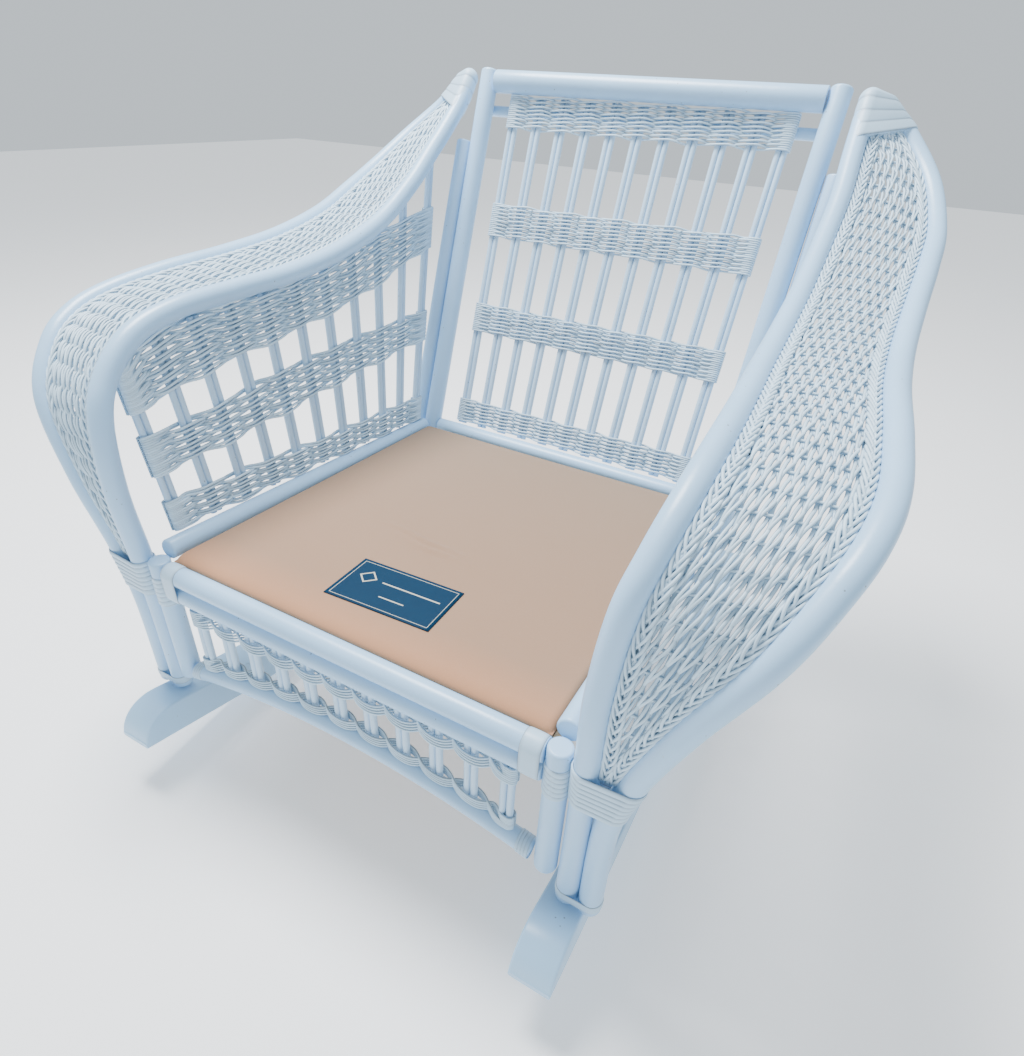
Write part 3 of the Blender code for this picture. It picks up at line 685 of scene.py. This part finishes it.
def rods(name, place, lines, feet, tips, ref, node, mirror=False):
    """Two round rods for every spindle line."""
    paths = []
    for (c, k), foot, tip in zip(lines, feet, tips):
        v = np.linspace(foot, tip, 24)
        for side in (-1, 1):
            bow = 0.0002 * np.sin(np.linspace(0, 3.0, 24) * rng.uniform(0.6, 1.4)
                                  + rng.uniform(0, TAU))
            paths.append(place(c + k * v + side * ROD_R * 0.97, v, bow))
    verts, quads, caps = sweep(np.array(paths), ROD_R * 0.97, ref, 12)
    tone = np.repeat(rng.uniform(0.3, 1, len(verts)), verts.shape[1] * 12)
    return piece(name, verts, quads, SPINDLE_PAINT, caps, [node], mirror, tone)


def curve(points):
    """A function that interpolates (position, value) points."""
    at, value = np.array(points, float).T
    return lambda u: np.interp(u, at, value)


def level(v):
    return lambda u: v + 0 * np.asarray(u)


# %% The back panel
BACK_Y = 0.5563
BACK_N = unit(np.array([0, 1, -BACK_SLOPE]))


def back_place(u, v, w):
    """Panel plane y = 0.5563 + 0.373 v, pushed forward by w."""
    u, v, w = np.broadcast_arrays(u, v, w)
    base = np.stack([u, BACK_Y + BACK_SLOPE * v, v + 0 * u], -1)
    return base - BACK_N * w[..., None]


SPINDLES = 11
FAN_LOW, FAN_HIGH, FAN_Z, FAN_RISE = 0.2280, 0.2430, 0.280, 0.520
back_lines = []
for i in range(SPINDLES):
    share = (i - 5) / 5
    slope = share * (FAN_HIGH - FAN_LOW) / FAN_RISE
    back_lines.append((share * FAN_LOW - slope * FAN_Z, slope))
rods("back_spindle_rods", back_place, back_lines, [0.2627] * SPINDLES, [0.826] * SPINDLES,
     (1, 0, 0), "back_spindles")
ROW_PITCH = 0.0031
BACK_BANDS = [(0.7767, 0.8285), (0.6001, 0.6550), (0.4337, 0.4838), (0.2656, 0.3083)]
for i, (low, high) in enumerate(BACK_BANDS):
    rows = round((high - low) / ROW_PITCH)
    woven("back_weave_%d" % (i + 1),
          rows_of(back_place, back_lines, level(low), level(high), rows, 0.0007, REED_R, 1),
          -BACK_N, "back_band_%d" % (i + 1))
print("back panel woven")

# %% The side panels
FLARE, SIDE_X, SIDE_Z = 0.17, 0.305, 0.27
SIDE_N = unit(np.array([1, 0, -FLARE]))


def side_place(u, v, w):
    """Panel plane x = 0.305 + 0.17 (v - 0.27), pushed towards the seat by w."""
    u, v, w = np.broadcast_arrays(u, v, w)
    base = np.stack([SIDE_X + FLARE * (v - SIDE_Z), u, v + 0 * u], -1)
    return base - SIDE_N * w[..., None]


side_lines = []
for i in range(SPINDLES):
    lean = 0.41 * (i / 10) ** 2
    side_lines.append((0.053 + 0.0581 * i - lean * 0.365, lean))
arm_line = catmull(INNER, np.linspace(3.5, 15.0, 400))


def under_arm(u):
    """Highest level in the panel that stays just below the inner arm pole."""
    u = np.asarray(u, float)
    reach = POLE_R + 0.0018
    gap = u[..., None] - arm_line[:, 1]
    z = arm_line[:, 2] - np.sqrt(np.maximum(reach ** 2 - gap ** 2, 0))
    return np.where((np.abs(gap) < reach) & (arm_line[:, 2] > 0.45), z, 1.0).min(-1)


top_rear = curve([(0.600, 0.617), (0.760, 0.641)])
side_top = lambda u: np.minimum(under_arm(u), top_rear(u))
side_rail = lambda u: SEAT_Z - SEAT_FALL * np.asarray(u) + POLE_R
SIDE_BANDS = {
    "top": (curve([(0.04, 0.473), (0.182, 0.494), (0.353, 0.507), (0.480, 0.521),
                   (0.583, 0.540), (0.745, 0.579)]), lambda u: side_top(u) + 0.002, 12),
    "middle": (curve([(0.04, 0.389), (0.185, 0.391), (0.312, 0.397), (0.438, 0.405),
                      (0.70, 0.414)]),
               curve([(0.04, 0.445), (0.133, 0.443), (0.255, 0.456), (0.434, 0.463),
                      (0.70, 0.465)]), 9),
    "bottom": (lambda u: side_rail(u) + 0.001,
               curve([(0.04, 0.354), (0.205, 0.342), (0.334, 0.329), (0.464, 0.321),
                      (0.640, 0.310)]), 8),
}


def side_panel(tag, mirror):
    """Spindles from the seat rail up to the arm, then the three bands on them."""
    feet = [float(side_rail(c + k * 0.29)) + 2 * GAP for c, k in side_lines]
    tips = []
    for i, (c, k) in enumerate(side_lines):
        edge = under_arm if i > 8 else side_top
        v = 0.55
        for _ in range(20):
            v = float(edge(np.array([c + k * v]))[0])
        tips.append(v - 0.0005)
    rods("side_spindle_rods_" + tag, side_place, side_lines, feet, tips, (0, 1, 0),
         "side_spindles_" + tag, mirror)
    for name, (low, high, rows) in SIDE_BANDS.items():
        woven("side_%s_weave_%s" % (name, tag),
              rows_of(side_place, side_lines, low, high, rows, 0.0009, SIDE_REED_R, 2),
              -SIDE_N, "side_%s_band_%s" % (name, tag), SIDE_REED_R, mirror)


on_sides(side_panel)
print("side panels woven")

# %% [markdown]
# ## Apron
# Under the front rails two groups of four strands take turns to hang in front of the
# short double spindles like swags; one group starts over the end of the other.

# %% Apron panel
def apron_place(u, v, w):
    """Panel plane y = 0, pushed forward by w."""
    u, v, w = np.broadcast_arrays(u, v, w)
    return np.stack([u, -w, v], -1) * np.ones(3)


APRON_PITCH = 0.0485
apron_lines = [(APRON_PITCH * (i - 5), 0.0) for i in range(SPINDLES)]
rods("apron_spindle_rods", apron_place, apron_lines,
     [float(apron_z(c)) + APRON_RAIL_R + 0.001 for c, _ in apron_lines],
     [LOWER_Z - POLE_R - GAP] * SPINDLES, (1, 0, 0), "apron_spindles")


def chain(name, centre, node, swing, pitch, end_pitch):
    """Two groups of four strands: v = centre - swing (cos p + 0.35 sin p), w = front(p)."""
    last = SPINDLES - 1
    tau = np.linspace(0, last, 161)[None]
    group = np.repeat([0, 1], 4)[:, None]
    lane = np.tile([-1.5, -0.5, 0.5, 1.5], 2)[:, None]
    reach = ROD_R + 0.0018
    angle = math.pi * (tau + group)
    calm = smooth(np.minimum(tau, last - tau) / 0.45)
    u = APRON_PITCH * (tau - 5) + 0 * group
    sag = swing * (np.cos(angle) + 0.35 * np.sin(angle))
    stack = (2 * group - 1) * 2 * end_pitch * (1 - calm)
    squeeze = end_pitch + (pitch - end_pitch) * calm
    v = centre(u) - calm * sag + lane * squeeze + stack
    w = reach * (calm * front(tau + group) + 1 - calm) + calm * 0.0005 * lane
    head, tail = turned_ends(u, v, reach)
    full = np.concatenate([head, np.stack([u, v, w], -1)[:, 1:-1], tail], 1)
    woven(name, apron_place(full[..., 0], full[..., 1], full[..., 2]), (0, -1, 0), node,
          0.0017)


chain("apron_upper_chain", level(0.2148), "apron_upper_band", 0.0040, 0.0052, 0.0034)
chain("apron_lower_chain", lambda u: apron_z(u) + APRON_RAIL_R + 0.0118, "apron_lower_band",
      0.0022, 0.0047, 0.0027)

# %% [markdown]
# ## The woven arms
# Lengthwise reed passes over and under hidden cross ribs. In the wide part of the arm
# the strands are spread; towards the leg and the crown they crowd against the poles,
# where a plait covers the edge.

# %% Arm weave
def arm_map(s, q, h):
    """Point between the poles: q is -1 at the inner and 1 at the outer, h stands proud."""
    a, b, w, n = across(s)
    middle = (a + b) / 2
    half = np.linalg.norm(b - a, axis=-1, keepdims=True) / 2 - POLE_R * 0.98
    rise = 0.006 * np.minimum(1, half / 0.04)
    q = np.asarray(q)[..., None]
    return middle + w * half * q + n * (rise * (1 - q ** 2) + np.asarray(h)[..., None])


S0, S1 = 1.90, 15.08
dense = np.linspace(S0, S1, 900)
centre_line = (catmull(INNER, dense) + catmull(OUTER, dense)) / 2
length = np.concatenate([[0], np.cumsum(np.linalg.norm(np.diff(centre_line, axis=0), axis=1))])
run = np.linspace(0, length[-1], 330)
stations = np.interp(run, length, dense)
width = np.linalg.norm(catmull(OUTER, stations) - catmull(INNER, stations), axis=-1) / 2
width = width - POLE_R
RIB_PITCH = 0.0270
STRANDS = 42
STRAND_PITCH = 0.0031
PLAIT_PITCH = 0.080


def arm_weave(tag, mirror):
    """Pairs of strands: lateral = offset + 1.7 mm sin(pi p), height = 2.6 mm front(p)."""
    strand = np.arange(STRANDS)[:, None]
    pair, side = strand // 2, 2 * (strand % 2) - 1
    offset = (strand - (STRANDS - 1) / 2) * STRAND_PITCH
    bend = 0.0006 * np.sin(run[None] * 31 + rng.uniform(0, TAU, (STRANDS, 1)))
    phase = run[None] / RIB_PITCH + pair + 0.07 * rng.standard_normal((STRANDS, 1))
    offset = offset + side * 0.0006 * front(phase)
    lateral = offset + bend + 0.0017 * np.sin(math.pi * phase) * (1 + 0.7 * side)
    a = lateral / width[None]
    q = 0.955 * a / (1 + np.abs(a) ** 7) ** (1 / 7)
    crowd = np.clip(np.abs(a) - 0.85, 0, 1.5)
    h = 0.0026 * front(phase) + 0.0009 * crowd * np.sin(3 * strand)
    paths = arm_map(np.broadcast_to(stations, q.shape), q, h)
    normal = across(stations)[3]
    reeds("arm_reed_" + tag, paths, ARM_REED_R, normal[None], ["arm_weave_" + tag], mirror,
          0.96)


on_sides(arm_weave)


# %% Cross ribs and edge plaits
def arm_ribs(tag, mirror):
    """Straight ribs from pole to pole, one every RIB_PITCH."""
    ribs = np.interp(np.arange(0, length[-1], RIB_PITCH), length, dense)
    q = np.linspace(-0.99, 0.99, 22)[None]
    s = ribs[:, None] + 0 * q
    reeds("arm_ribs_" + tag, arm_map(s, q + 0 * s, 0 * s), 0.0018, across(s)[3], (), mirror)


def arm_plaits(tag, mirror):
    """Six strands: sideways 6 mm (1.15 + sin(p + pi k / 3)), height 1.6 mm sin(2p)."""
    paths = []
    for edge in (-1, 1):
        for k in range(6):
            p = TAU * (run / PLAIT_PITCH + k / 6)
            reach = np.minimum(0.0060, 0.45 * width)
            q = edge * (1 - reach * (1.15 + np.sin(p)) / width)
            paths.append(arm_map(stations, q, 0.0036 + 0.0016 * np.sin(2 * p)))
    reeds("arm_plaits_" + tag, np.array(paths), 0.0020, across(stations)[3][None], (), mirror)


on_sides(arm_ribs)
on_sides(arm_plaits)
print("arms woven,", STRANDS, "strands on each")

# %% [markdown]
# ## Bindings
# Joints are wound with flat strips of cane peel. A binding is one closed skin round one
# or two poles whose surface rises and falls once per turn, tilted as a winding is.

# %% Wound strips
PEEL_WALL = 0.0002
AROUND = 40


def winding(name, a, b, w, n, radius, turns, tilt, depth, mirror=False, nodes=(),
            dome=False):
    """Skin round the line a..b at each section: r = radius + depth |sin(pi turns f)|^0.35.

    a, b, w, n are arrays over the sections; f runs from 0 to 1 along the binding.
    """
    rings = len(a)
    arc = np.radians(np.concatenate([np.linspace(-90, 90, AROUND // 2),
                                     np.linspace(90, 270, AROUND // 2)]))
    on_outer = np.arange(AROUND) < AROUND // 2
    centre = np.where(on_outer[None, :, None], b[:, None], a[:, None])
    f = np.linspace(0, 1, rings)[:, None] + tilt * np.cos(arc)[None]
    ridge = np.abs(np.sin(math.pi * turns * f)) ** 0.35
    edge = np.clip(np.minimum(np.arange(rings), rings - 1 - np.arange(rings)) / 2, 0, 1)
    r = np.asarray(radius)[:, None] + PEEL_WALL + depth * ridge * (0.25 + 0.75 * edge[:, None])
    if dome:
        cap = np.clip((np.arange(rings) - (rings - 15)) / 14.5, 0, 1)[:, None]
        r = r * np.sqrt(1 - cap ** 2)
    # tone carries the ridge height; strip_paint turns its low values into painted shade in the
    # grooves.
    tone = np.broadcast_to(ridge, (rings, AROUND))
    out = (np.cos(arc)[None, :, None] * w[:, None] + np.sin(arc)[None, :, None] * n[:, None])
    outer = centre + r[..., None] * out
    if dome:
        index = np.arange(rings * AROUND).reshape(rings, AROUND)
        verts, caps = outer, np.stack([index[0, ::-1], index[-1]])
    else:
        inner = centre[::-1] + (np.asarray(radius)[::-1, None, None] * out[::-1])
        verts = np.concatenate([outer, inner])
        tone = np.concatenate([tone, tone[::-1]])
        index = np.arange(2 * rings * AROUND).reshape(2 * rings, AROUND)
        index = np.vstack([index, index[:1]])
        caps = None
    low, high = index[:-1], index[1:]
    quads = np.stack([low, np.roll(low, -1, 1), np.roll(high, -1, 1), high], -1)
    return piece(name, verts, quads[..., ::-1], STRIP,
                 None if caps is None else caps[:, ::-1], nodes, mirror, tone)


def arm_sections(s0, s1, count):
    """Pole centres and axes from s0 to s1, and the pole radius in that slanting cut."""
    s = np.linspace(s0, s1, count)
    a, b, w, n = across(s)
    t = np.cross(w, n)
    lean = np.minimum(np.abs((heading(INNER, s) * t).sum(-1)),
                      np.abs((heading(OUTER, s) * t).sum(-1)))
    return a, b, w, n, POLE_R / lean


def leg_windings(tag, mirror):
    """The wide binding where the leg's poles part, and one strip at their foot."""
    *section, radius = arm_sections(1.27, 1.95, 64)
    winding("leg_winding_" + tag, *section, radius, 7, 0.035, 0.0017, mirror,
            ["leg_binding_" + tag])
    *section, radius = arm_sections(0.055, 0.135, 14)
    winding("leg_end_strip_" + tag, *section, radius, 1, 0.0, 0.0009, mirror,
            ["leg_cap_" + tag])


def beyond(points, s):
    """The curve, continued straight on past its last station."""
    extra = np.maximum(s - LAST, 0)[:, None]
    return catmull(points, s) + extra * (points[-1] - points[-2])


def crown_windings(tag, mirror):
    """Wide slanting turns: they start lower on the inner pole and close over the top."""
    f = np.linspace(0, 1, 90)
    a, b = beyond(INNER, 14.50 + 1.90 * f), beyond(OUTER, 15.12 + 1.28 * f)
    t = unit(np.gradient(a + b, axis=0))
    w = unit(b - a)
    n = unit(np.cross(w, t - w * (t * w).sum(-1, keepdims=True)))
    winding("crown_winding_" + tag, a, b, w, n, np.full(90, POLE_R + 0.0004), 4.0, 0.05,
            0.0010, mirror, ["crown_binding_" + tag], dome=True)


on_sides(leg_windings)
on_sides(crown_windings)


def round_winding(name, start, end, radius, turns, w, n, mirror, tilt, count,
                  spread=(0, 0, 0), depth=0.0013):
    """Winding on one straight pole, or on two parallel poles spread apart."""
    line = np.linspace(start, end, count)
    spread = np.array(spread, float)
    axes = [np.broadcast_to(np.array(v, float), line.shape) for v in (w, n)]
    winding(name, line - spread, line + spread, *axes, np.full(count, radius), turns, tilt,
            depth, mirror)


def joint_windings(tag, mirror):
    """Windings on the front post, round both front rails and on the apron rail."""
    x, y, z = np.eye(3)
    round_winding("front_post_winding_" + tag, (FRONT_X, 0, 0.221), (FRONT_X, 0, 0.268),
                  POLE_R, 6, x, y, mirror, 0.05, 60)
    both = (0, 0, POLE_R + GAP / 2)
    middle = UPPER_Z - POLE_R - GAP / 2
    round_winding("front_rail_strip_" + tag, (0.258, 0, middle), (0.2825, 0, middle),
                  POLE_R, 1, z, -y, mirror, 0.0, 30, both, 0.0009)
    ends = [np.array([v, 0, float(apron_z(v))]) for v in (0.262, 0.279)]
    round_winding("apron_rail_winding_" + tag, ends[0], ends[1], APRON_RAIL_R, 4, z, -y,
                  mirror, 0.05, 30)


on_sides(joint_windings)
print("bindings wound")

# %% [markdown]
# ## The sprung deck
# The deck is cotton stretched over springs: flat, with its edges rolled over the frame,
# and one soft double wrinkle. It is a closed cushion-like form worked out on a grid.

# %% Deck cover
DECK_X, DECK_Y0, DECK_Y1 = 0.2834, 0.0110, 0.612
DECK_Z, DECK_FALL, DECK_T = 0.298, 0.062, 0.012


def deck_height(x, y):
    """Top of the cloth: edges rolled down, a shallow wrinkle and slight waves."""
    ex = np.clip((DECK_X - np.abs(x)) / 0.010, 0, 1)
    ey = np.clip(np.minimum((y - DECK_Y0) / 0.020, (DECK_Y1 - y) / 0.010), 0, 1)
    roll = (1 - np.sqrt(1 - (1 - ex) ** 2 * 0.999)) + (1 - np.sqrt(1 - (1 - ey) ** 2 * 0.999))
    fold_at = 0.236 - 0.11 * (x + 0.03) + 0.003 * np.sin(60 * x)
    fold = 0.0046 * np.exp(-((y - fold_at) / 0.0050) ** 2 - ((x + 0.03) / 0.055) ** 2)
    second = 0.0026 * np.exp(-((y - fold_at + 0.014) / 0.006) ** 2 - ((x + 0.01) / 0.045) ** 2)
    sag = 0.0012 * np.sin(9 * x + 2) * np.sin(7 * y)
    return (DECK_Z - DECK_FALL * y - 0.0095 * np.clip(roll, 0, 1)
            + (fold + second + sag) * ex * ey)


def edged(low, high, count, ease=0.022):
    """Grid positions packed closer together near both ends."""
    middle = np.linspace(low + ease, high - ease, count)
    near = ease * (1 - np.cos(np.linspace(0, math.pi / 2, 15)))[:-1]
    return np.concatenate([low + near, middle, (high - near)[::-1]])


def slab(top, under):
    """Closed slab: a grid of top points, the same grid underneath and a wall round both."""
    count = top.shape[0] * top.shape[1]
    index = np.arange(count).reshape(top.shape[:2])
    flat = np.stack([index[:-1, :-1], index[:-1, 1:], index[1:, 1:], index[1:, :-1]], -1)
    rim = np.concatenate([index[0, :-1], index[:-1, -1], index[-1, :0:-1], index[:0:-1, 0]])
    after = np.roll(rim, -1)
    wall = np.stack([rim + count, after + count, after, rim], -1)
    verts = np.concatenate([top.reshape(-1, 3), under.reshape(-1, 3)])
    return verts, np.concatenate([flat.reshape(-1, 4), (flat + count).reshape(-1, 4)[:, ::-1],
                                  wall])


def deck():
    """The cloth from edge to edge, a little above the deck frame."""
    xs, ys = edged(-DECK_X, DECK_X, 150), edged(DECK_Y0, DECK_Y1, 150)
    x, y = np.meshgrid(xs, ys)
    top = np.stack([x, y, deck_height(x, y)], -1)
    under = np.stack([x, y, DECK_Z - DECK_FALL * y - DECK_T + GAP], -1)
    verts, quads = slab(top, under)
    return piece("deck_cloth", verts, quads, COTTON, None, ["deck_cover"])


deck_cloth = deck()


# %% Label
LABEL_SIZE = (0.155, 0.090)
LABEL_AT = (0.011, 0.108)


def label():
    """Thin satin patch laid on the cloth, with its own UV map for the printed rules."""
    turn, count = math.radians(3.0), 24
    u, v = np.meshgrid(np.linspace(0, 1, count), np.linspace(0, 1, count))
    lx, ly = (u - 0.5) * LABEL_SIZE[0], (v - 0.5) * LABEL_SIZE[1]
    x = LABEL_AT[0] + lx * math.cos(turn) - ly * math.sin(turn)
    y = LABEL_AT[1] + lx * math.sin(turn) + ly * math.cos(turn)
    top = np.stack([x, y, deck_height(x, y) + 0.0012], -1)
    verts, quads = slab(top, top - (0, 0, 0.0008))
    obj = piece("label_patch", verts, quads, SATIN, None, ["deck_label"])
    layer = obj.data.uv_layers.new(name="patch")
    loops = np.zeros(len(obj.data.loops), np.int32)
    obj.data.loops.foreach_get("vertex_index", loops)
    uv = np.tile(np.stack([u.ravel(), v.ravel()], -1), (2, 1))[loops]
    layer.data.foreach_set("uv", uv.astype(np.float32).ravel())
    return obj


patch = label()

# %% [markdown]
# ## Frame wood and springs
# Under the cloth the sawn frame and the zigzag springs keep their measured shapes and
# only get their finishes.

# %% Finish the measured pieces that stay
for name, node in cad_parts.items():
    if node.hide_render:
        continue
    finish = WIRE if name.startswith("seat_spring") else WOOD
    node.data.materials.clear()
    node.data.materials.append(finish)
    print("kept", name)

# %% [markdown]
# ## Floor, light and camera
# A pale floor, one soft light overhead, a fill from the front and a plain pale surround.
# The camera stands in front, on the +X side, and looks steeply down.

# %% Stage
floor_mesh = bpy.data.meshes.new("floor")
floor_mesh.from_pydata([(-9, -9, 0), (9, -9, 0), (9, 9, 0), (-9, 9, 0)], [], [(0, 1, 2, 3)])
floor_mesh.materials.append(floor_finish("floor_finish"))
floor = bpy.data.objects.new("floor", floor_mesh)
bpy.context.scene.collection.objects.link(floor)

world = bpy.data.worlds.new("surround")
world.use_nodes = True
world.node_tree.nodes["Background"].inputs["Color"].default_value = (0.84, 0.93, 1.0, 1.0)
world.node_tree.nodes["Background"].inputs["Strength"].default_value = 0.85
bpy.context.scene.world = world


def soft_light(name, at, size, power, color, target=(0, 0, 0.4)):
    """A round area light at a place, aimed at target."""
    data = bpy.data.lights.new(name, "AREA")
    data.shape, data.size, data.energy, data.color = "DISK", size, power, color
    lamp = bpy.data.objects.new(name, data)
    lamp.location = at
    aim = np.array(target, float) - np.array(at, float)
    yaw, pitch = math.atan2(aim[0], -aim[1]), math.atan2(math.hypot(aim[0], aim[1]), -aim[2])
    lamp.rotation_euler = (pitch, 0, math.pi - yaw + math.pi)
    bpy.context.scene.collection.objects.link(lamp)


soft_light("sky_light", (-0.9, 0.2, 3.0), 1.2, 190, (0.98, 0.985, 1.0))
soft_light("front_fill", (1.2, -2.6, 2.2), 1.6, 55, (1.0, 0.98, 0.96))

# %% Camera
YAW, PITCH, ROLL = (math.radians(v) for v in (-26.687, -33.489, 3.271))
look = np.array([math.sin(YAW) * math.cos(PITCH), math.cos(YAW) * math.cos(PITCH),
                 math.sin(PITCH)])
side = unit(np.cross(look, [0, 0, 1]))
up = np.cross(side, look)
side, up = (math.cos(ROLL) * side + math.sin(ROLL) * up,
            -math.sin(ROLL) * side + math.cos(ROLL) * up)
camera_data = bpy.data.cameras.new("camera")
camera_data.sensor_width = 36.0
camera_data.lens = 36.0 * 668.35 / 1056
camera = bpy.data.objects.new("camera", camera_data)
matrix = np.eye(4)
matrix[:3, 0], matrix[:3, 1], matrix[:3, 2] = side, up, -look
matrix[:3, 3] = np.array([0.4418, -0.4233, 0.8447]) + SHIFT
camera.matrix_world = Matrix(matrix.tolist())
bpy.context.scene.collection.objects.link(camera)
bpy.context.scene.camera = camera
